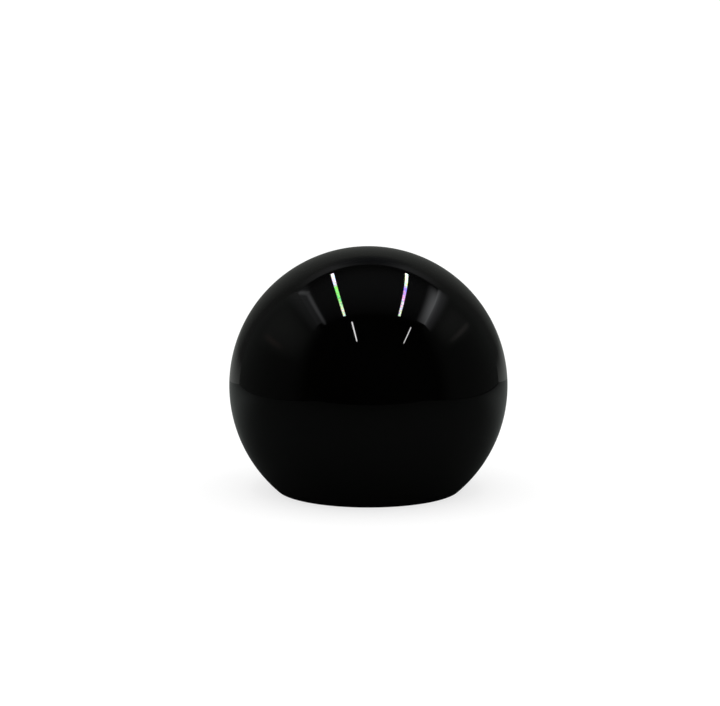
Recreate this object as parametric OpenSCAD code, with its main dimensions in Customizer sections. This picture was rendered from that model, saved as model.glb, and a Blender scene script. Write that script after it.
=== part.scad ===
// Ball-shaped lever knob: a billiard-size ball cut flat at its base, drilled for a
// threaded bush, with a screw-in thread adapter that takes the end of the lever.
// Millimetres. Origin: centre of the flat base, on the surface it stands on. +Z up.
// The three plate screws sit at 90, 210 and 330 degrees about Z.

/* [Ball] */
// Diameter of the ball
ball_d = 57.15; // [56:0.05:60]
// Height from the flat base to the top of the ball
ball_h = 50; // [49:0.5:51]
// Edge break where the flat base meets the round
edge_break = 0.15; // [0.05:0.05:0.4]

/* [Base recess and plate] */
// Radius of the recess in the flat base
recess_r = 16.5; // [16.5:0.05:17]
// Depth of the recess
recess_depth = 4.2; // [4.2:0.1:4.6]
// Gap around the parts that sit in the recess
recess_gap = 0.1; // [0.05:0.05:0.2]
// Height of the plate's lower face above the base
plate_z = 0.3; // [0.3:0.05:0.4]
// Thickness of the base plate
plate_t = 1.3; // [1.3:0.05:1.4]
// Radius of the plate's centre hole
plate_hole_r = 10.2; // [10.15:0.05:10.3]
// Chamfer on the plate's edges
plate_chamfer = 0.25; // [0.1:0.05:0.3]

/* [Plate screws] */
// Distance of each screw from the centre
screw_ring_r = 13.3; // [13.2:0.05:13.4]
// Radius of the screw shank and of its pilot hole
screw_r = 1.25; // [1.2:0.05:1.3]
// Radius of the countersunk head
screw_head_r = 2.35; // [2.3:0.05:2.4]
// Length from head face to tip
screw_len = 10; // [9:0.5:11]
// Pitch of the screw thread
screw_pitch = 0.45; // [0.4:0.05:0.5]
// Width across the flats of the hexagon socket
screw_key = 1.5; // [1.3:0.1:1.6]

/* [Threaded bush] */
// Knurl tip radius of the bush barrel
bush_r = 11; // [10.9:0.05:11.05]
// Depth of the knurl
knurl_depth = 0.45; // [0.3:0.05:0.5]
// Number of knurl ribs
knurl_count = 48; // [36:4:60]
// Height of the top of the bush
bush_top = 21.8; // [21:0.1:22]
// Thread bore radius, drawn plain at the major size with running clearance
bush_bore_r = 8.05; // [8.03:0.01:8.08]
// Depth of the counterbore for the adapter's flange, from the bush's lower face
cbore_depth = 1.8; // [1.8:0.1:1.9]

/* [Lever bore and cushion] */
// Radius of the blind bore above the bush
lever_bore_r = 7; // [6.5:0.1:7.5]
// Height of the blind bore's end
lever_bore_top = 30; // [28:0.5:34]
// Thickness of the cushion at the bore's end
cushion_t = 2; // [1:0.5:3]

/* [Thread adapter and washer] */
// Outer thread radius
thread_r = 8; // [7.95:0.01:8]
// Outer thread pitch
thread_pitch = 1.5; // [1.25:0.25:1.5]
// Number of thread turns
thread_turns = 10; // [9:1:10]
// Radius of the lever thread, at its crests
lever_r = 4.25; // [4:0.05:4.4]
// Radius of the adapter's flange
flange_r = 10; // [9.9:0.05:10]
// Height of the flange's lower face
flange_z = 0.4; // [0.3:0.05:0.4]
// Thickness of the flange
flange_t = 2.2; // [2.1:0.05:2.2]
// Width of the driver slot
slot_w = 2.4; // [2:0.1:3]
// Depth of the driver slot
slot_depth = 1.2; // [0.8:0.1:1.3]
// Thickness of the washer above the flange
washer_t = 0.8; // [0.6:0.05:0.8]

/* [Hidden] */
$fn = 96;
ball_r = ball_d / 2;
ball_z = ball_h - ball_r;
flat_r = sqrt(ball_r * ball_r - ball_z * ball_z);
half_slope = atan2(flat_r, ball_z) / 2;
plate_top = plate_z + plate_t;
plate_r = recess_r - recess_gap;
bush_hole_r = bush_r + 0.08;
bush_hole_top = bush_top + 0.2;
cbore_r = plate_hole_r;
cbore_top = plate_top + cbore_depth;
head_h = screw_head_r - screw_r;
flange_top = flange_z + flange_t;
washer_top = flange_top + washer_t;
thread_z = cbore_top;
thread_top = thread_z + thread_turns * thread_pitch;
thread_depth = 0.5413 * thread_pitch;
root_r = thread_r - thread_depth;
screw_depth = 0.5413 * screw_pitch;
screw_tip = plate_z + screw_len;
screw_thread_z = plate_z + head_h + 0.5;
screw_turns = floor((screw_tip - 0.4 - screw_thread_z) / screw_pitch);
SCREW_ANGLES = [90, 210, 330];

// Outline of the ball, right of its axis, with the recess and bores left out
module ball_half() {
  difference() {
    intersection() {
      translate([0, ball_z]) circle(r = ball_r);
      polygon([[0, 0], [flat_r - edge_break, 0],
               [flat_r - edge_break + 60 * cos(half_slope), 60 * sin(half_slope)],
               [flat_r + 60, 60], [0, 60]]);
    }
    polygon([[-1, -1], [recess_r + 0.2, -1], [recess_r + 0.2, 0], [recess_r, 0.2],
             [recess_r, recess_depth], [bush_hole_r, recess_depth],
             [bush_hole_r, bush_hole_top], [lever_bore_r, bush_hole_top],
             [lever_bore_r, lever_bore_top], [-1, lever_bore_top]]);
  }
}

module ball() {
  color([0.012, 0.012, 0.013])
  difference() {
    rotate_extrude() ball_half();
    for (a = SCREW_ANGLES)
      rotate([0, 0, a])
        translate([screw_ring_r, 0, recess_depth - 1])
          cylinder(r = screw_r, h = screw_tip + 0.8 - recess_depth + 1);
  }
}

// Straight knurl: ribs with pointed tips on a round core
module knurl_outline() {
  polygon([for (i = [0:2 * knurl_count - 1])
    let (r = bush_r - (i % 2 == 0 ? 0 : knurl_depth), a = i * 180 / knurl_count)
    [r * cos(a), r * sin(a)]]);
}

// Knurled barrel: three ribbed bands on a plain core that pilots it into the ball
module bush_barrel() {
  core_r = bush_r - knurl_depth - 0.25;
  for (z = [recess_depth, 10.2, 16.2])
    translate([0, 0, z])
      linear_extrude(4.6) knurl_outline();
  rotate_extrude()
    polygon([[bush_bore_r - 0.5, recess_depth - 0.5], [core_r, recess_depth - 0.5],
             [core_r, bush_top - 0.5], [core_r - 0.5, bush_top],
             [bush_bore_r - 0.5, bush_top]]);
}

module threaded_bush() {
  color([0.72, 0.53, 0.22])
  difference() {
    union() {
      translate([0, 0, plate_top]) cylinder(r = plate_r, h = recess_depth - plate_top);
      bush_barrel();
    }
    // thread bore, counterbore and their lead-in chamfers
    rotate_extrude()
      polygon([[0, plate_top - 1], [cbore_r, plate_top - 1], [cbore_r, cbore_top],
               [bush_bore_r + 0.35, cbore_top], [bush_bore_r, cbore_top + 0.35],
               [bush_bore_r, bush_top - 0.4], [bush_bore_r + 0.6, bush_top + 0.2],
               [bush_bore_r + 0.6, bush_top + 1], [0, bush_top + 1]]);
    // clearance holes for the plate screws
    for (a = SCREW_ANGLES)
      rotate([0, 0, a])
        translate([screw_ring_r, 0, plate_top - 1])
          cylinder(r = screw_r, h = recess_depth - plate_top + 2);
  }
}

module base_plate() {
  c = plate_chamfer;
  color([0.05, 0.05, 0.055])
  difference() {
    rotate_extrude()
      polygon([[plate_hole_r + c, plate_z], [plate_r - c, plate_z], [plate_r, plate_z + c],
               [plate_r, plate_top], [plate_hole_r, plate_top], [plate_hole_r, plate_z + c]]);
    for (a = SCREW_ANGLES)
      rotate([0, 0, a])
        translate([screw_ring_r, 0, 0])
          rotate_extrude()
            polygon([[0, plate_z - 1], [screw_head_r, plate_z - 1], [screw_head_r, plate_z],
                     [screw_r, plate_z + head_h], [screw_r, plate_top + 1],
                     [0, plate_top + 1]]);
  }
}

// Profile points of a ringed thread, right of its axis, one groove after another
function ring_thread(r, depth, z0, pitch, turns) =
  [for (i = [0:turns - 1], k = [0:3])
    let (f = [0.09375, 0.40625, 0.59375, 0.90625][k])
    [r - (k == 1 || k == 2 ? depth : 0), z0 + (i + f) * pitch]];

module plate_screw(a) {
  color([0.62, 0.63, 0.65])
  rotate([0, 0, a])
  translate([screw_ring_r, 0, 0])
  difference() {
    rotate_extrude()
      polygon(concat(
        [[0, plate_z], [screw_head_r, plate_z], [screw_r, plate_z + head_h],
         [screw_r, screw_thread_z]],
        ring_thread(screw_r, screw_depth, screw_thread_z, screw_pitch, screw_turns),
        [[screw_r, screw_tip - 0.4], [screw_r - 0.4, screw_tip], [0, screw_tip]]));
    translate([0, 0, plate_z - 1])
      cylinder(r = screw_key / sqrt(3), h = 1.85, $fn = 6);
  }
}

module plate_screw_1() { plate_screw(SCREW_ANGLES[0]); }
module plate_screw_2() { plate_screw(SCREW_ANGLES[1]); }
module plate_screw_3() { plate_screw(SCREW_ANGLES[2]); }

module bore_cushion() {
  color([0.10, 0.10, 0.10])
  rotate_extrude()
    polygon([[0, lever_bore_top - cushion_t], [lever_bore_r - 0.55, lever_bore_top - cushion_t],
             [lever_bore_r - 0.05, lever_bore_top - cushion_t + 0.5],
             [lever_bore_r - 0.05, lever_bore_top], [0, lever_bore_top]]);
}

module adapter_washer() {
  c = 0.12;
  color([0.04, 0.04, 0.04])
  rotate_extrude()
    polygon([[thread_r + 0.15, flange_top + c], [thread_r + 0.15 + c, flange_top],
             [flange_r - 0.1 - c, flange_top], [flange_r - 0.1, flange_top + c],
             [flange_r - 0.1, washer_top - c], [flange_r - 0.1 - c, washer_top],
             [thread_r + 0.15 + c, washer_top], [thread_r + 0.15, washer_top - c]]);
}

module thread_adapter() {
  c = 0.3;
  color([0.66, 0.67, 0.69])
  difference() {
    rotate_extrude()
      polygon(concat(
        [[lever_r + 0.85, flange_z], [flange_r - c, flange_z], [flange_r, flange_z + c],
         [flange_r, flange_top], [root_r - 0.15, flange_top],
         [root_r - 0.15, thread_z + 0.6], [root_r, thread_z + 0.609]],
        [for (p = ring_thread(thread_r, thread_depth, thread_z, thread_pitch, thread_turns))
          if (p[1] > thread_z + 0.61) p],
        [[thread_r, thread_top], [thread_r - 0.9, thread_top + 0.9],
         [lever_r + 0.85, thread_top + 0.9], [lever_r, thread_top + 0.05],
         [lever_r, flange_z + 0.85]]));
    // screwdriver slot across the flange
    translate([-flange_r - 1, -slot_w / 2, flange_z - 1])
      cube([2 * flange_r + 2, slot_w, slot_depth + 1]);
  }
}

ball();
threaded_bush();
base_plate();
plate_screw_1();
plate_screw_2();
plate_screw_3();
bore_cushion();
adapter_washer();
thread_adapter();
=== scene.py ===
"""A black ball-shaped lever knob that stands on its flat base, on white paper in a small light box.

The CAD frame gives the places and sizes. Each piece is a turned (lathed) mesh with eased edges, some
with a helical thread, and each has a procedural material. Lengths are in metres; profiles are lists of
(radius, height) about the knob's axis, which is Z.
"""

import math

import bmesh
import bpy
from mathutils import Matrix, Vector


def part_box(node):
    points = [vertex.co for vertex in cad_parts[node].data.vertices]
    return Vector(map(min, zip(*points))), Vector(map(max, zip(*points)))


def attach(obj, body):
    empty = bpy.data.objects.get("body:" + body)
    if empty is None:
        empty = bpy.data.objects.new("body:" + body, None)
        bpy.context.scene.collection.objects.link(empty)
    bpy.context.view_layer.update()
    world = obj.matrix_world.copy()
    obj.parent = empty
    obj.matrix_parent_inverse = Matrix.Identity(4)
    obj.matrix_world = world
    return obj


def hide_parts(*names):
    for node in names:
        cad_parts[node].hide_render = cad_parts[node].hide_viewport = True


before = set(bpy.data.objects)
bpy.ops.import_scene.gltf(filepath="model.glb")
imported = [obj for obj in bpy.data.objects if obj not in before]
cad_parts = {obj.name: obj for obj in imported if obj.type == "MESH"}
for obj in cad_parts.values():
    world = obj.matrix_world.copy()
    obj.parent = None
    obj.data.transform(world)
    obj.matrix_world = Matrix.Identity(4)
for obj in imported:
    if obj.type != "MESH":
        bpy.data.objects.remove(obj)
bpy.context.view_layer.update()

MM = 0.001
# edges shorter than this are merged away after a cut
SLIVER = 0.0012 * MM
# edges where the surface turns by more degrees than this are shaded sharp
SHARP_ANGLE = 35

# ---------------------------------------------------------------- sizes from the CAD frame
ball_low, ball_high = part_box("ball")
bush_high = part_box("threaded_bush")[1]
plate_low, plate_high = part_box("base_plate")
washer_low, washer_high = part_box("adapter_washer")
adapter_low, adapter_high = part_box("thread_adapter")
cushion_low, cushion_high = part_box("bore_cushion")

BALL_R = (ball_high.x - ball_low.x) / 2
BALL_Z = ball_high.z - BALL_R
FLAT_R = math.sqrt(BALL_R ** 2 - BALL_Z ** 2)
PLATE_R = plate_high.x
PLATE_Z, PLATE_TOP = plate_low.z, plate_high.z
BUSH_TOP = bush_high.z
CUSHION_R = cushion_high.x
CUSHION_Z, BORE_TOP = cushion_low.z, cushion_high.z
FLANGE_R = adapter_high.x
ADAPTER_Z, ADAPTER_TOP = adapter_low.z, adapter_high.z
WASHER_R = washer_high.x
WASHER_Z, WASHER_TOP = washer_low.z, washer_high.z

# ---------------------------------------------------------------- sizes inside the pieces
RECESS_R = PLATE_R + 0.1 * MM
RECESS_DEPTH = 4.2 * MM
BUSH_HOLE_R = 11.08 * MM
BUSH_HOLE_TOP = 22 * MM
LEVER_BORE_R = CUSHION_R + 0.05 * MM
PLATE_HOLE_R = 10.2 * MM
CBORE_TOP = PLATE_TOP + 1.8 * MM
KNURL_R, KNURL_DEPTH, KNURL_RIBS = 11 * MM, 0.45 * MM, 48
BANDS_AT, BAND_LENGTH = (RECESS_DEPTH, 10.2 * MM, 16.2 * MM), 4.6 * MM
BUSH_CREST_R, BUSH_ROOT_R = 7.26 * MM, 8.05 * MM
SCREW_RING_R = 13.3 * MM
SCREW_ANGLES = (90, 210, 330)
SCREW_R, SCREW_HEAD_R = 1.25 * MM, 2.35 * MM
SCREW_PITCH = 0.45 * MM
SOCKET_AF, SOCKET_DEPTH = 1.5 * MM, 0.85 * MM
SCREW_NECK = 1.7 * MM
SCREW_GAP = 0.03 * MM
PILOT_TOP = 11 * MM
WASHER_HOLE_R = 8.15 * MM
BIG_PITCH, LEVER_PITCH = 1.5 * MM, 1.5 * MM
LEVER_CREST_R = 4.25 * MM
# how deep a thread is, as a share of its pitch
THREAD_DEPTH = 0.5413
SLOT_W, SLOT_DEPTH = 2.4 * MM, 1.2 * MM
FLANGE_T = 2.2 * MM
RELIEF_R, ADAPTER_ROOT_R, ADAPTER_CREST_R = 7.03 * MM, 7.13 * MM, 7.96 * MM


# ---------------------------------------------------------------- profiles
def arc(centre, radius, start, end, steps):
    """Points of an arc about (r, z) centre, from start to end in degrees, 0 pointing outwards."""
    turns = [math.radians(start + (end - start) * i / steps) for i in range(steps + 1)]
    return [(centre[0] + radius * math.cos(t), centre[1] + radius * math.sin(t)) for t in turns]


def eased(points, radius, closed=False, steps=3):
    """The profile with each real corner rounded to about the given radius."""
    count = len(points)
    result = []
    for i, p in enumerate(points):
        if not closed and i in (0, count - 1):
            result.append(p)
            continue
        corner, before, after = Vector(p), Vector(points[i - 1]), Vector(points[(i + 1) % count])
        u, v = before - corner, after - corner
        angle = u.angle(v)
        if angle > math.radians(172):
            result.append(p)
            continue
        trim = min(radius / math.tan(angle / 2), 0.45 * u.length, 0.45 * v.length)
        start, end = corner + u.normalized() * trim, corner + v.normalized() * trim
        for s in range(steps + 1):
            t = s / steps
            q = start * (1 - t) ** 2 + corner * (2 * t * (1 - t)) + end * t ** 2
            result.append((q.x, q.y))
    return result


# ---------------------------------------------------------------- mesh building
def revolve(bm, profile, segments, closed=False, swell=None):
    """Faces of the profile turned about Z. swell(r, z, i) may change a radius round the axis."""
    rings = []
    for r, z in profile:
        if r < 1e-9:
            rings.append([bm.verts.new((0, 0, z))] * segments)
            continue
        ring = []
        for i in range(segments):
            a = 2 * math.pi * i / segments
            rr = swell(r, z, i) if swell else r
            ring.append(bm.verts.new((rr * math.cos(a), rr * math.sin(a), z)))
        rings.append(ring)
    pairs = list(zip(rings, rings[1:])) + ([(rings[-1], rings[0])] if closed else [])
    for low, high in pairs:
        for i in range(segments):
            j = (i + 1) % segments
            corners = []
            for v in (low[i], low[j], high[j], high[i]):
                if v not in corners:
                    corners.append(v)
            if len(corners) > 2:
                bm.faces.new(corners)


def helix(bm, root, crest, pitch, z_from, z_to, limit, segments, phase=0.0):
    """A thread's wall from z_from to z_to. limit(z, r) holds the radius inside the chamfers at its ends."""
    turns = int(math.ceil((z_to - z_from) / pitch)) + 1
    shape = [(0.07, root), (0.36, crest), (0.50, crest), (0.79, root)]
    steps = [(k + f, r) for k in range(-2, turns + 1) for f, r in shape]

    def point(i, c):
        f, r = steps[min(c, len(steps) - 1)]
        z = z_from + (f + phase + i / segments) * pitch
        z = min(max(z, z_from), z_to) if c < len(steps) else z_to
        r = limit(z, r)
        a = 2 * math.pi * i / segments
        return r * math.cos(a), r * math.sin(a), z

    grid = [[bm.verts.new(point(i, c)) for c in range(len(steps))] for i in range(segments)]
    # after a full turn each column meets the one a pitch above it
    last = [grid[0][min(c + len(shape), len(steps) - 1)] for c in range(len(steps))]
    for i in range(segments):
        here, there = grid[i], grid[i + 1] if i + 1 < segments else last
        for c in range(len(steps) - 1):
            corners = []
            for v in (here[c], there[c], there[c + 1], here[c + 1]):
                if v not in corners:
                    corners.append(v)
            if len(corners) > 2 and not bm.faces.get(corners):
                bm.faces.new(corners)


def finished(bm, name):
    """The bmesh as an object: merged, facing outwards, smooth between its sharp edges."""
    bmesh.ops.remove_doubles(bm, verts=bm.verts, dist=2e-8)
    bmesh.ops.dissolve_degenerate(bm, edges=bm.edges, dist=1e-8)
    bmesh.ops.recalc_face_normals(bm, faces=bm.faces)
    mesh = bpy.data.meshes.new(name)
    bm.to_mesh(mesh)
    bm.free()
    mesh.shade_smooth()
    mesh.set_sharp_from_angle(angle=math.radians(SHARP_ANGLE))
    obj = bpy.data.objects.new(name, mesh)
    bpy.context.scene.collection.objects.link(obj)
    return obj


def turned(name, profile, segments=128, closed=False, swell=None):
    """A piece turned from one profile."""
    bm = bmesh.new()
    revolve(bm, profile, segments, closed, swell)
    return finished(bm, name)


def prism(name, outline, z_from, z_to):
    """A cutter: an outline of (x, y) points carried from z_from to z_to."""
    bm = bmesh.new()
    low = [bm.verts.new((x, y, z_from)) for x, y in outline]
    high = [bm.verts.new((x, y, z_to)) for x, y in outline]
    bm.faces.new(low)
    bm.faces.new(high)
    for i in range(len(outline)):
        j = (i + 1) % len(outline)
        bm.faces.new((low[i], low[j], high[j], high[i]))
    return finished(bm, name)


def cut(obj, cutters):
    """Takes the cutters out of obj, and removes them."""
    for cutter in cutters:
        change = obj.modifiers.new("cut", "BOOLEAN")
        change.operation = "DIFFERENCE"
        change.solver = "EXACT"
        change.object = cutter
    bpy.context.view_layer.update()
    shaped = bpy.data.meshes.new_from_object(
        obj.evaluated_get(bpy.context.evaluated_depsgraph_get()))
    obj.modifiers.clear()
    obj.data = shaped
    bm = bmesh.new()
    bm.from_mesh(shaped)
    bmesh.ops.remove_doubles(bm, verts=bm.verts, dist=SLIVER)
    bmesh.ops.dissolve_degenerate(bm, edges=bm.edges, dist=SLIVER)
    bm.to_mesh(shaped)
    bm.free()
    shaped.shade_smooth()
    shaped.set_sharp_from_angle(angle=math.radians(SHARP_ANGLE))
    for cutter in cutters:
        bpy.data.objects.remove(cutter)


def at_screws(make):
    """One thing made for each plate screw, moved to its place in the ring."""
    made = []
    for n, angle in enumerate(SCREW_ANGLES, 1):
        obj = make(n)
        a = math.radians(angle)
        place = Matrix.Rotation(a, 4, "Z") @ Matrix.Translation((SCREW_RING_R, 0, 0))
        obj.data.transform(place)
        made.append(obj)
    return made


def joined_to(obj, body, node):
    """The usual declarations of a piece that stands for one CAD node."""
    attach(obj, body)
    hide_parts(node)


# ---------------------------------------------------------------- the ball
def make_ball():
    """The polished round, the flat ring that it stands on, and the turned recess and bores inside."""
    lowest = -math.degrees(math.asin(BALL_Z / BALL_R))
    skin = arc((0, BALL_Z), BALL_R, 90, lowest, 120)
    skin[0] = (0, skin[0][1])
    bevel = 0.2 * MM
    # the two eased profiles meet here, on the recess's straight wall
    meeting = (RECESS_R, 2 * MM)
    base = eased([skin[-2], skin[-1], (RECESS_R + bevel, 0), (RECESS_R, bevel), meeting], 0.25 * MM)
    inside = eased([meeting, (RECESS_R, RECESS_DEPTH), (BUSH_HOLE_R, RECESS_DEPTH),
                    (BUSH_HOLE_R, BUSH_HOLE_TOP), (LEVER_BORE_R, BUSH_HOLE_TOP),
                    (LEVER_BORE_R, BORE_TOP), (0, BORE_TOP)], 0.15 * MM)
    ball = turned("ball_phenolic", skin[:-2] + base[:-1] + inside, 224)
    cut(ball, at_screws(lambda n: turned(
        f"pilot_{n}", [(0, RECESS_DEPTH - MM), (SCREW_R, RECESS_DEPTH - MM),
                       (SCREW_R, PILOT_TOP), (0, PILOT_TOP)], 32)))
    return ball


def machined_faces(obj, inner_slot):
    """Gives the ball's recess and bores the material slot of cut, unpolished resin."""
    for face in obj.data.polygons:
        c = face.center
        if math.hypot(c.x, c.y) < FLAT_R and (c - Vector((0, 0, BALL_Z))).length < BALL_R * 0.985:
            face.material_index = inner_slot


# ---------------------------------------------------------------- the bush, plate and screws
def make_bush():
    """Flange, three knurled bands on a plain barrel, and a helical inner thread."""
    rib_root = KNURL_R - KNURL_DEPTH
    step, ease, hair = 0.25 * MM, 0.25 * MM, 0.01 * MM
    core = rib_root - step
    wall = [(PLATE_R, PLATE_TOP), (PLATE_R, RECESS_DEPTH)]
    for low in BANDS_AT:
        high = low + BAND_LENGTH
        wall += [(core, low), (rib_root, low + hair), (KNURL_R, low + ease),
                 (KNURL_R, high - ease), (rib_root, high - hair), (core, high)]
    wall += [(core, BUSH_TOP - 0.5 * MM), (core - 0.5 * MM, BUSH_TOP)]
    mouth = [(PLATE_HOLE_R, CBORE_TOP), (PLATE_HOLE_R, PLATE_TOP)]
    segments = KNURL_RIBS * 4

    def ribs(r, z, i):
        """Pointed ribs: a radius beyond the core falls back between the rib tips."""
        if z <= RECESS_DEPTH or r <= core + 1e-7:
            return r
        return r - max(0.0, r - core) * (0, 0.5, 1, 0.5)[i % 4] * 0.65

    def limit(z, r):
        lead = 0.7 * MM
        flare = max(lead - (z - CBORE_TOP), lead - (BUSH_TOP - z), 0)
        return max(r, BUSH_CREST_R + flare * 1.2)

    bm = bmesh.new()
    revolve(bm, [(limit(CBORE_TOP, 0), CBORE_TOP)] + mouth + wall + [(limit(BUSH_TOP, 0), BUSH_TOP)],
            segments, swell=ribs)
    helix(bm, BUSH_ROOT_R, BUSH_CREST_R, BIG_PITCH, CBORE_TOP, BUSH_TOP, limit, segments, phase=0.5)
    bush = finished(bm, "bush_brass")
    hole = SCREW_R + SCREW_GAP
    cut(bush, at_screws(lambda n: turned(
        f"clearance_{n}", [(0, PLATE_TOP - MM), (hole, PLATE_TOP - MM),
                           (hole, RECESS_DEPTH + MM), (0, RECESS_DEPTH + MM)], 32)))
    return bush


def make_plate():
    """The black closing plate with its countersunk holes."""
    ring = eased([(PLATE_HOLE_R, PLATE_Z), (PLATE_R, PLATE_Z), (PLATE_R, PLATE_TOP),
                  (PLATE_HOLE_R, PLATE_TOP)], 0.22 * MM, closed=True)
    plate = turned("plate_anodised", ring, 160, closed=True)
    sink, hole = SCREW_HEAD_R + 2 * SCREW_GAP, SCREW_R + SCREW_GAP
    cut(plate, at_screws(lambda n: turned(
        f"sink_{n}", [(0, PLATE_Z - MM), (sink, PLATE_Z - MM), (sink, PLATE_Z),
                      (hole, PLATE_Z + sink - hole), (hole, PLATE_TOP + MM),
                      (0, PLATE_TOP + MM)], 48)))
    return plate


def make_screw(n):
    """A countersunk screw with a hexagon socket and a helical thread, about its own axis."""
    low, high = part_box(f"plate_screw_{n}")
    z0, tip = low.z, high.z
    thread_from, thread_to = z0 + SCREW_NECK, tip - 0.35 * MM
    head = [(0, z0), (SCREW_HEAD_R, z0), (SCREW_R, z0 + SCREW_HEAD_R - SCREW_R),
            (SCREW_R, thread_from)]
    root = SCREW_R - THREAD_DEPTH * SCREW_PITCH

    def limit(z, r):
        run_in = SCREW_R - max(0.0, z - thread_from) * 1.2
        run_out = root + (thread_to - z)
        return min(max(r, run_in), run_out)

    bm = bmesh.new()
    revolve(bm, eased(head, 0.07 * MM), 48)
    helix(bm, root, SCREW_R, SCREW_PITCH, thread_from, thread_to, limit, 48)
    revolve(bm, [(root, thread_to), (root - 0.25 * MM, tip - 0.02 * MM), (0, tip)], 48)
    screw = finished(bm, f"screw_{n}")
    reach = SOCKET_AF / math.sqrt(3)
    hexagon = [(reach * math.cos(math.radians(60 * k)), reach * math.sin(math.radians(60 * k)))
               for k in range(6)]
    below, bevel = 0.5 * MM, 0.12 * MM
    mouth = turned("mouth", [(0, z0 - below), (reach + 0.4 * MM, z0 - below),
                             (reach - bevel, z0 + bevel), (0, z0 + bevel)], 32)
    cut(screw, [prism("socket", hexagon, z0 - MM, z0 + SOCKET_DEPTH), mouth])
    # the socket's own faces take the second material, a darker steel that paints the shade in the socket
    for face in screw.data.polygons:
        c = face.center
        depth = c.z - z0
        if math.hypot(c.x, c.y) < reach and 0.03 * MM < depth < SOCKET_DEPTH + 0.05 * MM:
            face.material_index = 1
    return screw


# ---------------------------------------------------------------- the cushion, washer and adapter
def make_cushion():
    """The disc that the lever's end rests against."""
    ease = 0.5 * MM
    return turned("cushion_nylon", eased(
        [(0, CUSHION_Z), (CUSHION_R - ease, CUSHION_Z), (CUSHION_R, CUSHION_Z + ease),
         (CUSHION_R, BORE_TOP), (0, BORE_TOP)], 0.15 * MM), 96)


def make_washer():
    """A moulded rubber washer with a crowned edge and a fine parting line."""
    mid = (WASHER_Z + WASHER_TOP) / 2
    line = 0.03 * MM
    edge = WASHER_R - line
    ring = eased([(WASHER_HOLE_R, WASHER_Z), (edge, WASHER_Z), (edge, mid - line),
                  (WASHER_R, mid), (edge, mid + line), (edge, WASHER_TOP),
                  (WASHER_HOLE_R, WASHER_TOP)], 0.16 * MM, closed=True)
    return turned("washer_rubber", ring, 128, closed=True)


def make_adapter():
    """Flange with a driver slot, helical threads outside and inside, and a relief under the flange."""
    flange_top = ADAPTER_Z + FLANGE_T
    thread_from, thread_to = CBORE_TOP, ADAPTER_TOP
    inner_root = LEVER_CREST_R + THREAD_DEPTH * LEVER_PITCH
    lead = 0.95 * MM
    mouth_r = LEVER_CREST_R + lead

    def outside(z, r):
        return min(r, RELIEF_R + (z - thread_from) * 1.2, RELIEF_R + (thread_to - z))

    def inside(z, r):
        flare = max(lead - (z - ADAPTER_Z), lead - (ADAPTER_TOP - z), 0)
        return max(r, LEVER_CREST_R + flare)

    bm = bmesh.new()
    revolve(bm, eased([(mouth_r, ADAPTER_Z), (FLANGE_R, ADAPTER_Z), (FLANGE_R, flange_top),
                       (RELIEF_R, flange_top), (RELIEF_R, thread_from)], 0.25 * MM), 144)
    helix(bm, ADAPTER_ROOT_R, ADAPTER_CREST_R, BIG_PITCH, thread_from, thread_to, outside, 144)
    revolve(bm, [(RELIEF_R, thread_to), (mouth_r, thread_to)], 144)
    helix(bm, inner_root, LEVER_CREST_R, LEVER_PITCH, ADAPTER_Z, ADAPTER_TOP, inside, 144)
    adapter = finished(bm, "adapter_aluminium")
    half, flare, reach = SLOT_W / 2, 0.15 * MM, FLANGE_R + 2 * MM
    bm = bmesh.new()
    section = [(-half - 2 * flare, -flare), (-half - flare, 0), (-half, flare), (-half, SLOT_DEPTH),
               (half, SLOT_DEPTH), (half, flare), (half + flare, 0), (half + 2 * flare, -flare)]
    ends = [[bm.verts.new((x, y, ADAPTER_Z + z)) for y, z in section] for x in (-reach, reach)]
    for i in range(len(section)):
        j = (i + 1) % len(section)
        bm.faces.new((ends[0][i], ends[0][j], ends[1][j], ends[1][i]))
    for end in ends:
        bm.faces.new(end)
    cut(adapter, [finished(bm, "slot")])
    return adapter


# ---------------------------------------------------------------- materials
def maths(nodes, links, operation, a, b):
    """One Math node on two values or sockets."""
    node = nodes.new("ShaderNodeMath")
    node.operation = operation
    for socket, value in zip(node.inputs, (a, b)):
        if isinstance(value, (int, float)):
            socket.default_value = value
        else:
            links.new(value, socket)
    return node.outputs["Value"]


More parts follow.
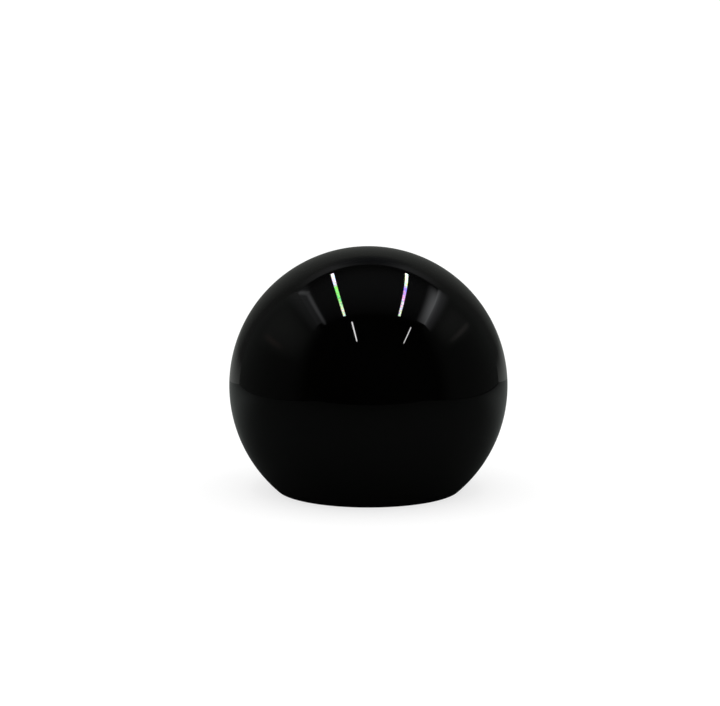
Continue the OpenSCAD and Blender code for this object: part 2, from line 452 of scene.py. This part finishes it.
class Finish:
    """A node material: a Principled shader with its fixed sockets set, and helpers that add detail."""

    def __init__(self, name, **fixed):
        self.material = bpy.data.materials.new(name)
        self.material.use_nodes = True
        self.nodes = self.material.node_tree.nodes
        self.links = self.material.node_tree.links
        self.shader = self.nodes["Principled BSDF"]
        for socket, value in fixed.items():
            self.shader.inputs[socket.replace("_", " ")].default_value = value
        self.where = self.nodes.new("ShaderNodeTexCoord").outputs["Object"]

    def noise(self, scale, detail=3, rough=0.5, stretch=(1, 1, 1)):
        """Noise in object space; scale is in features a metre."""
        place = self.nodes.new("ShaderNodeMapping")
        place.inputs["Scale"].default_value = stretch
        self.links.new(self.where, place.inputs["Vector"])
        node = self.nodes.new("ShaderNodeTexNoise")
        node.inputs["Scale"].default_value = scale
        node.inputs["Detail"].default_value = detail
        node.inputs["Roughness"].default_value = rough
        self.links.new(place.outputs["Vector"], node.inputs["Vector"])
        return node.outputs["Fac"]

    def turning(self, pitch, waver=0.3):
        """Fine rings about Z, as a lathe tool leaves, in radius and height together."""
        split = self.nodes.new("ShaderNodeSeparateXYZ")
        self.links.new(self.where, split.inputs["Vector"])
        flat = self.nodes.new("ShaderNodeCombineXYZ")
        self.links.new(split.outputs["X"], flat.inputs["X"])
        self.links.new(split.outputs["Y"], flat.inputs["Y"])
        radius = self.nodes.new("ShaderNodeVectorMath")
        radius.operation = "LENGTH"
        self.links.new(flat.outputs["Vector"], radius.inputs[0])
        total = self.maths("ADD", radius.outputs["Value"], split.outputs["Z"])
        ring = self.nodes.new("ShaderNodeCombineXYZ")
        self.links.new(total, ring.inputs["X"])
        node = self.nodes.new("ShaderNodeTexNoise")
        node.inputs["Scale"].default_value = 1 / pitch
        node.inputs["Detail"].default_value = 2
        node.inputs["Distortion"].default_value = waver
        self.links.new(ring.outputs["Vector"], node.inputs["Vector"])
        return node.outputs["Fac"]

    def maths(self, operation, a, b):
        return maths(self.nodes, self.links, operation, a, b)

    def spread(self, value, low, high, start=0.3, end=0.7):
        """The value's run from start to end as a run from low to high."""
        node = self.nodes.new("ShaderNodeMapRange")
        for socket, number in zip(("From Min", "From Max", "To Min", "To Max"),
                                  (start, end, low, high)):
            node.inputs[socket].default_value = number
        self.links.new(value, node.inputs["Value"])
        return node.outputs["Result"]

    def tint(self, value, low, high):
        """The base colour runs between two colours with the value."""
        node = self.nodes.new("ShaderNodeMix")
        node.data_type = "RGBA"
        self.links.new(value, node.inputs["Factor"])
        node.inputs[6].default_value = (*low, 1)
        node.inputs[7].default_value = (*high, 1)
        self.links.new(node.outputs[2], self.shader.inputs["Base Color"])

    def roughness(self, value):
        self.links.new(value, self.shader.inputs["Roughness"])

    def bump(self, value, height):
        """Relief of the given height in metres."""
        node = self.nodes.new("ShaderNodeBump")
        node.inputs["Distance"].default_value = height
        node.inputs["Strength"].default_value = 1
        self.links.new(value, node.inputs["Height"])
        self.links.new(node.outputs["Normal"], self.shader.inputs["Normal"])


def polished_phenolic():
    """Cast resin, black through, buffed to a mirror: a faint haze, hairline marks and an orange-peel
    too shallow to bend the reflections."""
    m = Finish("phenolic_polished", IOR=1.56, Specular_IOR_Level=0.5)
    cloud = m.noise(45, 4, 0.55)
    m.tint(m.spread(cloud, 0, 1), (0.0003, 0.0003, 0.0003), (0.0006, 0.0006, 0.0006))
    hairs = m.noise(520, 2, 0.6, (1, 0.12, 3.2))
    haze = m.spread(m.noise(120, 5, 0.6), 0.010, 0.030)
    m.roughness(m.maths("ADD", haze, m.spread(hairs, 0, 0.035, 0.66, 0.80)))
    m.bump(m.noise(70, 1, 0.3), 0.0000006)
    return m.material


def cut_phenolic():
    """The same resin where a tool cut it: matt, with turning rings."""
    m = Finish("phenolic_cut", IOR=1.56)
    rings = m.turning(0.12 * MM)
    m.tint(m.spread(m.noise(900, 4), 0, 1), (0.013, 0.013, 0.013), (0.023, 0.022, 0.021))
    m.roughness(m.spread(rings, 0.36, 0.62))
    m.bump(m.maths("ADD", rings, m.maths("MULTIPLY", m.noise(5000, 2), 0.5)), 0.000012)
    return m.material


def turned_brass():
    """Free-cutting brass, freshly turned, a little darker and duller in random patches."""
    m = Finish("brass_turned", Metallic=1.0)
    cloud = m.noise(180, 4)
    m.tint(m.spread(cloud, 0, 1), (0.62, 0.42, 0.16), (0.83, 0.63, 0.30))
    rings = m.turning(0.10 * MM)
    m.roughness(m.maths("ADD", m.spread(rings, 0.16, 0.30), m.spread(cloud, 0.08, 0)))
    m.bump(rings, 0.000006)
    return m.material


def black_anodised():
    """Turned aluminium under a black anodised layer: fine rings, satin, a hint of warm metal."""
    m = Finish("anodised_black", Metallic=0.55, IOR=1.7)
    rings = m.turning(0.09 * MM)
    m.tint(m.spread(m.noise(400, 5), 0, 1), (0.024, 0.024, 0.026), (0.034, 0.033, 0.034))
    m.roughness(m.spread(rings, 0.24, 0.42))
    m.bump(m.maths("ADD", rings, m.maths("MULTIPLY", m.noise(6000, 3), 0.35)), 0.000009)
    return m.material


def zinc_plate():
    """Bright zinc with the slight blue and straw cast of its passivation."""
    m = Finish("zinc_plated", Metallic=1.0)
    m.tint(m.spread(m.noise(900, 3), 0, 1), (0.52, 0.56, 0.62), (0.74, 0.72, 0.66))
    m.roughness(m.spread(m.noise(2600, 4), 0.14, 0.30))
    m.bump(m.noise(9000, 2), 0.000004)
    return m.material


def socket_shade_steel():
    """The screws' sockets: darker steel, painted shade for the hollow of the socket."""
    m = Finish("steel_socket_shade", Metallic=1.0)
    # painted shade: the socket's colour is kept dark so that its hollow reads as shaded
    m.tint(m.spread(m.noise(1800, 3), 0, 1), (0.050, 0.048, 0.046), (0.110, 0.105, 0.100))
    m.roughness(m.spread(m.noise(3000, 3), 0.30, 0.50))
    m.bump(m.noise(9000, 2), 0.000006)
    return m.material


def natural_nylon():
    """Uncoloured nylon: creamy and slightly see-through, with a moulded grain."""
    m = Finish("nylon_natural", IOR=1.53, Subsurface_Weight=0.35, Subsurface_Scale=0.0012)
    m.tint(m.spread(m.noise(350, 4), 0, 1), (0.62, 0.58, 0.49), (0.76, 0.73, 0.65))
    m.roughness(m.spread(m.noise(1500, 3), 0.36, 0.55))
    m.bump(m.noise(3500, 3), 0.000012)
    return m.material


def moulded_rubber():
    """Black rubber with a powdery bloom."""
    m = Finish("rubber_moulded", IOR=1.5, Sheen_Weight=0.12, Sheen_Roughness=0.5)
    bloom = m.noise(700, 5, 0.65)
    m.tint(m.spread(bloom, 0, 1), (0.012, 0.012, 0.012), (0.045, 0.044, 0.042))
    m.roughness(m.spread(bloom, 0.62, 0.85))
    m.bump(m.noise(7000, 3), 0.00002)
    return m.material


def turned_aluminium():
    """Bare turned aluminium with a bright cut and fine tool rings."""
    m = Finish("aluminium_turned", Metallic=1.0)
    rings = m.turning(0.08 * MM)
    m.tint(m.spread(m.noise(260, 4), 0, 1), (0.66, 0.67, 0.69), (0.82, 0.83, 0.84))
    m.roughness(m.spread(rings, 0.15, 0.33))
    m.bump(rings, 0.000006)
    return m.material


# ---------------------------------------------------------------- the object
ball = make_ball()
ball.data.materials.append(polished_phenolic())
ball.data.materials.append(cut_phenolic())
machined_faces(ball, 1)
joined_to(ball, "knob", "ball")

bush = make_bush()
bush.data.materials.append(turned_brass())
joined_to(bush, "knob", "threaded_bush")

plate = make_plate()
plate.data.materials.append(black_anodised())
joined_to(plate, "knob", "base_plate")

# the second screw material paints shade into the sockets
zinc, socket_shade = zinc_plate(), socket_shade_steel()
for n, screw in enumerate(at_screws(make_screw), 1):
    screw.data.materials.append(zinc)
    screw.data.materials.append(socket_shade)
    joined_to(screw, "knob", f"plate_screw_{n}")

cushion = make_cushion()
cushion.data.materials.append(natural_nylon())
joined_to(cushion, "knob", "bore_cushion")

washer = make_washer()
washer.data.materials.append(moulded_rubber())
joined_to(washer, "washer", "adapter_washer")

adapter = make_adapter()
adapter.data.materials.append(turned_aluminium())
joined_to(adapter, "adapter", "thread_adapter")


# ---------------------------------------------------------------- the camera
def make_camera(distance, elevation, aim_up, aim_left, lens):
    """Looks along +Y from in front of the ball, turned a little off its centre. Angles in degrees."""
    centre = Vector((0, 0, BALL_Z))
    e = math.radians(elevation)
    out = Vector((0, -math.cos(e), math.sin(e)))
    data = bpy.data.cameras.new("camera")
    data.sensor_width = 36
    data.lens = lens
    data.clip_start = 0.01
    data.clip_end = 50
    camera = bpy.data.objects.new("camera", data)
    camera.location = centre + out * distance
    ahead = (-out).to_track_quat("-Z", "Y").to_matrix().to_4x4()
    turn = Matrix.Rotation(math.radians(aim_left), 4, "Y") @ Matrix.Rotation(math.radians(aim_up), 4, "X")
    camera.rotation_mode = "QUATERNION"
    camera.rotation_quaternion = (ahead @ turn).to_quaternion()
    bpy.context.scene.collection.objects.link(camera)
    bpy.context.scene.camera = camera


make_camera(distance=0.400, elevation=9.4, aim_up=0.946, aim_left=0.246, lens=97.23)


# ---------------------------------------------------------------- stage pieces and their light
def stage_grid(name, rows, closed=False):
    """A stage piece from rows of (place, level). A level is how much light the piece gives or returns
    there, and is kept as a mesh attribute."""
    count = len(rows[0])
    faces = []
    for j in range(len(rows) - 1):
        for i in range(count if closed else count - 1):
            k = (i + 1) % count
            faces.append((j * count + i, (j + 1) * count + i, (j + 1) * count + k, j * count + k))
    mesh = bpy.data.meshes.new(name)
    mesh.from_pydata([place for row in rows for place, _ in row], [], faces)
    kept = mesh.attributes.new("level", "FLOAT", "POINT")
    kept.data.foreach_set("value", [level for row in rows for _, level in row])
    obj = bpy.data.objects.new(name, mesh)
    bpy.context.scene.collection.objects.link(obj)
    return obj


class StageLight:
    """A stage piece's material: plain diffuse paper, a plain glow, or both added."""

    def __init__(self, obj, paper=None, glow=None):
        self.material = bpy.data.materials.new(obj.name)
        self.material.use_nodes = True
        self.nodes, self.links = self.material.node_tree.nodes, self.material.node_tree.links
        self.nodes.clear()
        self.out = self.nodes.new("ShaderNodeOutputMaterial")
        self.shaders = []
        for kind, colour in (("ShaderNodeBsdfDiffuse", paper), ("ShaderNodeEmission", glow)):
            if colour is not None:
                shader = self.nodes.new(kind)
                shader.inputs["Color"].default_value = (*colour, 1)
                self.shaders.append(shader)
        self.last = self.shaders[-1]
        if len(self.shaders) == 2:
            self.last = self.nodes.new("ShaderNodeAddShader")
            for k, shader in enumerate(self.shaders):
                self.links.new(shader.outputs[0], self.last.inputs[k])
        self.links.new(self.last.outputs[0], self.out.inputs["Surface"])
        obj.data.materials.append(self.material)

    def by_level(self, tint):
        """The colour becomes the tint times the piece's level."""
        level = self.nodes.new("ShaderNodeAttribute")
        level.attribute_name = "level"
        scale = self.nodes.new("ShaderNodeVectorMath")
        scale.operation = "SCALE"
        scale.inputs[0].default_value = tint
        self.links.new(level.outputs["Fac"], scale.inputs["Scale"])
        self.links.new(scale.outputs["Vector"], self.shaders[0].inputs["Color"])

    def maths(self, operation, a, b):
        return maths(self.nodes, self.links, operation, a, b)

    def row_of_lamps(self, along, lamps, glow):
        """Small lamps whose colour runs through (place, colour) stops, with a fine coloured grain."""
        ramp = self.nodes.new("ShaderNodeValToRGB")
        stops = ramp.color_ramp.elements
        for stop, (position, colour) in zip([*stops, *(stops.new(1) for _ in lamps[2:])], lamps):
            stop.position = position
            stop.color = (*colour, 1)
        self.links.new(along, ramp.inputs["Fac"])
        grain = self.nodes.new("ShaderNodeTexNoise")
        grain.inputs["Scale"].default_value = 260
        grain.inputs["Detail"].default_value = 1
        self.links.new(self.nodes.new("ShaderNodeTexCoord").outputs["Object"], grain.inputs["Vector"])
        sparkle = self.nodes.new("ShaderNodeVectorMath")
        sparkle.operation = "MULTIPLY_ADD"
        sparkle.inputs[1].default_value = [3.0 * part for part in glow]
        sparkle.inputs[2].default_value = [-0.5 * part for part in glow]
        self.links.new(grain.outputs["Color"], sparkle.inputs[0])
        product = self.nodes.new("ShaderNodeVectorMath")
        product.operation = "MULTIPLY"
        self.links.new(ramp.outputs["Color"], product.inputs[0])
        self.links.new(sparkle.outputs["Vector"], product.inputs[1])
        self.links.new(product.outputs["Vector"], self.shaders[0].inputs["Color"])

    def clear_where_low(self, factor):
        """Clear where the factor is 0, and as it is where the factor is 1."""
        clear = self.nodes.new("ShaderNodeBsdfTransparent")
        mix = self.nodes.new("ShaderNodeMixShader")
        self.links.new(factor, mix.inputs["Fac"])
        self.links.new(clear.outputs[0], mix.inputs[1])
        self.links.new(self.last.outputs[0], mix.inputs[2])
        self.links.new(mix.outputs[0], self.out.inputs["Surface"])


def seen_by(obj, camera=False, diffuse=False, glossy=False, shadow=False):
    """Which rays meet a stage piece."""
    obj.visible_camera = camera
    obj.visible_diffuse = diffuse
    obj.visible_glossy = glossy
    obj.visible_transmission = camera
    obj.visible_shadow = shadow
    obj.visible_volume_scatter = False


def sheet_with_hole(name, half_w, front, back, z, hole_r, level=lambda x, y: 1.0, yaw=0.0, rings=1):
    """A flat sheet with a round hole under the knob's flat, which hides it. Light reaches the knob's
    underside through the hole when the knob is looked at from below."""
    steps = 96
    rows = []
    for k in range(rings + 1):
        row = []
        for i in range(steps):
            a = 2 * math.pi * i / steps
            c, s = math.cos(a), math.sin(a)
            edge = min(half_w / max(abs(c), 1e-6), (back if s > 0 else -front) / max(abs(s), 1e-6))
            r = hole_r + (edge - hole_r) * (k / rings) ** 2
            turned_by = Matrix.Rotation(yaw, 2) @ Vector((r * c, r * s))
            row.append(((turned_by.x, turned_by.y, z), level(r * c, r * s)))
        rows.append(row)
    return stage_grid(name, rows, closed=True)


def make_floor():
    """White paper that the camera sees, lit partly from within like a light table. Its underside is
    clear, so that the knob can be seen from below."""
    floor = sheet_with_hole("floor", 4, -4, 4, 0, FLAT_R - 0.4 * MM)
    light = StageLight(floor, paper=(0.33, 0.33, 0.33), glow=(0.70, 0.70, 0.70))
    side = light.nodes.new("ShaderNodeNewGeometry")
    light.clear_where_low(light.maths("SUBTRACT", 1, side.outputs["Backfacing"]))
    seen_by(floor, camera=True, diffuse=True, shadow=True)


# ---------------------------------------------------------------- the light box in the reflections
BOX_YAW = math.radians(2.6)
BOX_CENTRE = Vector((0.008, 0, BALL_Z))
BOX_HALF_W = 0.195
BOX_BACK, BOX_FRONT, PAPER_FRONT = 0.150, -0.096, -0.215
BOX_TOP, BOX_LOW = 0.240, -BALL_Z
WARM_GREY, COOL_GREY, FOIL_GREY = (1.0, 1.03, 0.99), (0.97, 1.0, 1.03), (0.97, 1.04, 0.99)


def in_box(place):
    """A place in the light box, measured from the ball's centre along the box's own sides."""
    x, y, z = place
    c, s = math.cos(BOX_YAW), math.sin(BOX_YAW)
    return BOX_CENTRE + Vector((x * c - y * s, x * s + y * c, z))


def panel(name, corners, levels, tint):
    """A glowing four-cornered panel that only reflections see, with a level at each corner."""
    steps = 10
    a, b, c, d = (Vector((*corner, level)) for corner, level in zip(corners, levels))
    rows = []
    for j in range(steps + 1):
        v = j / steps
        left, right = a.lerp(d, v), b.lerp(c, v)
        row = [left.lerp(right, i / steps) for i in range(steps + 1)]
        rows.append([(in_box(p[:3]), p[3]) for p in row])
    obj = stage_grid(name, rows)
    StageLight(obj, glow=tint).by_level(tint)
    seen_by(obj, glossy=True)


def soft_band(name, start, end, across, glow, fade=1.5, ends=0.35, keep=1.0, lamps=()):
    """A glowing band from start to end, as wide as the vector across, that fades to clear at its sides
    and ends. keep cuts it short. lamps are (how far along, colour) for a row of small coloured lamps."""
    a, b, half = Vector(start), Vector(end), Vector(across) / 2
    b = a.lerp(b, keep)
    obj = stage_grid(name, [[(in_box(a - half), 1), (in_box(a + half), 1)],
                            [(in_box(b - half), 1), (in_box(b + half), 1)]])
    layer = obj.data.uv_layers.new(name="band")
    for loop in obj.data.loops:
        layer.data[loop.index].uv = (loop.vertex_index % 2, keep * (loop.vertex_index // 2))
    light = StageLight(obj, glow=glow)
    nodes, links = light.nodes, light.links
    place = nodes.new("ShaderNodeSeparateXYZ")
    links.new(nodes.new("ShaderNodeUVMap").outputs["UV"], place.inputs["Vector"])

    def hump(value, power):
        """1 in the middle and 0 at both sides."""
        parabola = light.maths("MULTIPLY", light.maths("MULTIPLY", value, 4),
                               light.maths("SUBTRACT", 1, value))
        return light.maths("POWER", parabola, power)

    shape = light.maths("MULTIPLY", hump(place.outputs["X"], fade), hump(place.outputs["Y"], ends))
    if lamps:
        light.row_of_lamps(place.outputs["Y"], lamps, glow)
    light.clear_where_low(shape)
    seen_by(obj, glossy=True)


def reflected_paper():
    """The paper as the ball reflects it, with painted light and shade in its levels: dim in front, brighter
    towards the back, darker towards the sides, and painted shade at the foot.
    """
    def level(x, y):
        # painted light: the level rises from front to back and falls towards the sides, as the light in the
        # box does
        near = 0.020 + 0.018 * min(max((y + 0.17) / 0.17, 0), 1)
        far = min(max((y + 0.01) / 0.08, 0), 1)
        side = 1 - 0.9 * (x / BOX_HALF_W) ** 2
        # painted shade: darker close to the knob's foot
        foot = 1 - 0.5 * math.exp((FLAT_R - math.hypot(x, y)) / (8 * MM))
        return (near + 0.102 * far * far * (3 - 2 * far) * side) * foot

    paper = sheet_with_hole("reflected_paper", BOX_HALF_W, PAPER_FRONT, BOX_BACK, 0.01 * MM,
                            FLAT_R - 0.3 * MM, level, BOX_YAW, rings=24)
    StageLight(paper, paper=(1, 1, 1)).by_level((0.97, 1.04, 1.0))
    seen_by(paper, glossy=True)
    table = sheet_with_hole("dark_table", 3, -3, 3, -0.5 * MM, FLAT_R - 0.3 * MM)
    StageLight(table, paper=(0, 0, 0))
    seen_by(table, glossy=True)


def make_light_box():
    """What the polished ball reflects above the paper: dim foil walls with brighter parts, open in
    front."""
    w, f, b, t, low = BOX_HALF_W, BOX_FRONT, BOX_BACK, BOX_TOP, BOX_LOW
    panel("wall_left", [(-w, f, low), (-w, b, low), (-w, b, t), (-w, f, t)],
          (0.018, 0.050, 0.075, 0.038), FOIL_GREY)
    panel("wall_right", [(w, f, low), (w, b, low), (w, b, t), (w, f, t)],
          (0.024, 0.046, 0.060, 0.032), FOIL_GREY)
    panel("wall_back", [(-w, b, low), (w, b, low), (w, b, t), (-w, b, t)],
          (0.040, 0.038, 0.062, 0.058), WARM_GREY)
    panel("ceiling", [(-w, f, t), (w, f, t), (w, b, t), (-w, b, t)],
          (0.012, 0.012, 0.016, 0.016), COOL_GREY)
    # the front edges fade out
    soft, soft_top = f - 0.05, f - 0.02
    panel("edge_left", [(-w, soft, low), (-w, f, low), (-w, f, t), (-w, soft, t)],
          (0, 0.018, 0.038, 0), FOIL_GREY)
    panel("edge_right", [(w, soft, low), (w, f, low), (w, f, t), (w, soft, t)],
          (0, 0.024, 0.032, 0), FOIL_GREY)
    panel("edge_top", [(-w, soft_top, t), (w, soft_top, t), (w, f, t), (-w, f, t)],
          (0, 0, 0.012, 0.012), COOL_GREY)
    # the brighter and darker parts stand a little in front of the panels
    z, side, back = t - 4 * MM, w - 3 * MM, b - 2 * MM
    soft_band("back_middle", (0, back, -0.10), (0, back, 0.20), (0.29, 0, 0), (0.115, 0.120, 0.113),
              fade=0.8, ends=0.8)
    soft_band("back_head", (-0.170, back - MM, 0.225), (0.170, back - MM, 0.225), (0, 0, 0.10),
              (0.150, 0.153, 0.156), fade=1, ends=0.8)
    soft_band("back_foot", (-0.26, back - MM, low), (0.26, back - MM, low), (0, 0, 0.070),
              (0.25, 0.26, 0.25), fade=1.5, ends=0.8)
    soft_band("back_head_dark", (-0.065, back - 2 * MM, 0.205), (0.070, back - 2 * MM, 0.205),
              (0, 0, 0.13), (0.030, 0.032, 0.036), fade=0.8, ends=0.8)
    soft_band("left_middle", (-side, 0.100, 0.120), (-side, -0.110, 0.135), (0, 0, 0.13),
              (0.092, 0.097, 0.092), fade=1, ends=1)
    soft_band("left_top", (-side, 0.240, 0.235), (-side, -0.160, 0.235), (0, 0, 0.11),
              (0.130, 0.135, 0.135), fade=1.5, ends=0.5, keep=0.84)
    soft_band("right_middle", (side, 0.090, 0.140), (side, -0.090, 0.155), (0, 0, 0.11),
              (0.092, 0.096, 0.092), fade=1, ends=1)
    soft_band("ceiling_shine", (0, 0.120, z), (0, -0.108, z), (0.36, 0, 0), (0.054, 0.056, 0.058),
              fade=0.25, ends=1)


def make_lights_in_reflections():
    """The two rows of lights, what the foil walls throw back of them, and two lamps in the room."""
    z, side, bright = BOX_TOP - 6 * MM, BOX_HALF_W - 5 * MM, (21, 21, 21)
    soft_band("row_left", (-0.0838, 0.121, z), (-0.0862, -0.101, z), (8 * MM, 0, 0), bright,
              fade=0.15, ends=0.05,
              lamps=((0, (0.95, 0.90, 1)), (0.30, (0.70, 0.70, 1)), (0.40, (0.25, 0.90, 0.16)),
                     (0.70, (0.28, 0.80, 0.24)), (0.85, (0.80, 1, 0.66)), (1, (1, 0.95, 0.78))))
    soft_band("row_right", (0.0840, 0.120, z), (0.0838, -0.101, z), (8 * MM, 0, 0), bright,
              fade=0.15, ends=0.05,
              lamps=((0, (0.90, 1, 0.85)), (0.32, (0.92, 1, 0.60)), (0.42, (0.36, 0.26, 1)),
                     (0.60, (0.78, 0.42, 0.95)), (0.80, (0.85, 0.80, 0.90)), (1, (0.75, 1, 0.80))))
    soft_band("shade_left", (-0.183, 0.150, z), (-0.183, -0.140, z), (0.070, 0, 0),
              (0.18, 0.185, 0.19), fade=1.4, ends=0.5, keep=0.84)
    soft_band("glow_left", (-0.165, 0.092, z - MM), (-0.163, -0.110, z - MM), (0.023, 0, 0),
              (0.54, 0.55, 0.57), fade=2.5, ends=0.4)
    soft_band("glow_left_turn", (-0.191, 0.134, z - 2 * MM), (-0.162, 0.076, z - 2 * MM),
              (0.026, 0.013, 0), (0.45, 0.46, 0.47), fade=2.5, ends=0.3)
    soft_band("glow_right", (0.190, 0.140, z), (0.190, -0.150, z), (0.096, 0, 0),
              (1.18, 1.20, 1.23), fade=2, ends=1.3, keep=0.81)
    soft_band("glow_right_wall", (side, 0.150, 0.238), (side, -0.200, 0.238), (0, 0, 0.064),
              (0.66, 0.68, 0.70), fade=5, ends=0.5, keep=0.70)
    soft_band("glow_right_low", (side + MM, 0.140, 0.230), (side + MM, -0.170, 0.232),
              (0, 0, 0.100), (0.31, 0.315, 0.33), fade=2, ends=0.5, keep=0.76)
    soft_band("streak_right", (side, 0.080, 0.108), (side, -0.050, 0.114), (0, 0, 0.018),
              (0.17, 0.16, 0.155), fade=1.5, ends=0.8)
    soft_band("streak_left", (-side, 0.070, 0.082), (-side, -0.030, 0.084), (0, 0, 0.018),
              (0.125, 0.108, 0.100), fade=1.5, ends=0.8)
    room = 1.6
    soft_band("room_lamp_left", (-0.420, -0.818, room), (-0.424, -1.594, room), (0.034, 0, 0),
              (16, 16, 16), fade=0.2, ends=0.1)
    soft_band("room_lamp_right", (1.022, -0.844, room), (1.044, -1.584, room), (0.030, 0, 0),
              (15, 15, 15), fade=0.2, ends=0.1)


def make_bowl_below():
    """A bowl of soft light under the table, for the metal pieces of the knob's underside."""
    radius, rows = 0.45, []
    for j in range(13):
        down = math.radians(1 + 89 * j / 12)
        row = []
        for i in range(48):
            a = 2 * math.pi * i / 48
            level = 0.45 + 0.35 * math.sin(down) + 0.40 * math.cos(down) * math.cos(2 * a - 0.7)
            row.append(((radius * math.cos(down) * math.cos(a), radius * math.cos(down) * math.sin(a),
                         -radius * math.sin(down)), level))
        rows.append(row)
    bowl = stage_grid("bowl_below", rows, closed=True)
    StageLight(bowl, glow=(1, 1, 1)).by_level((1.0, 1.0, 1.0))
    seen_by(bowl, glossy=True)


def area_light(name, place, size, power):
    """A soft rectangular lamp that shines straight down and isn't seen in reflections."""
    data = bpy.data.lights.new(name, "AREA")
    data.shape = "RECTANGLE"
    data.size, data.size_y = size
    data.energy = power
    lamp = bpy.data.objects.new(name, data)
    lamp.location = place
    lamp.visible_glossy = False
    lamp.visible_camera = False
    bpy.context.scene.collection.objects.link(lamp)


def make_world():
    """Even white light all round, which reflections don't see."""
    world = bpy.data.worlds.new("studio")
    world.use_nodes = True
    world.node_tree.nodes["Background"].inputs["Color"].default_value = (1, 1, 1, 1)
    world.node_tree.nodes["Background"].inputs["Strength"].default_value = 1.13
    bpy.context.scene.world = world
    world.cycles_visibility.glossy = False


make_floor()
reflected_paper()
make_light_box()
make_lights_in_reflections()
make_bowl_below()
make_world()
for side, x in (("left", -0.085), ("right", 0.095)):
    area_light(f"lamp_{side}", (x, 0.02, 0.255), (0.02, 0.23), 0.05)

bpy.context.scene.view_settings.view_transform = "Standard"
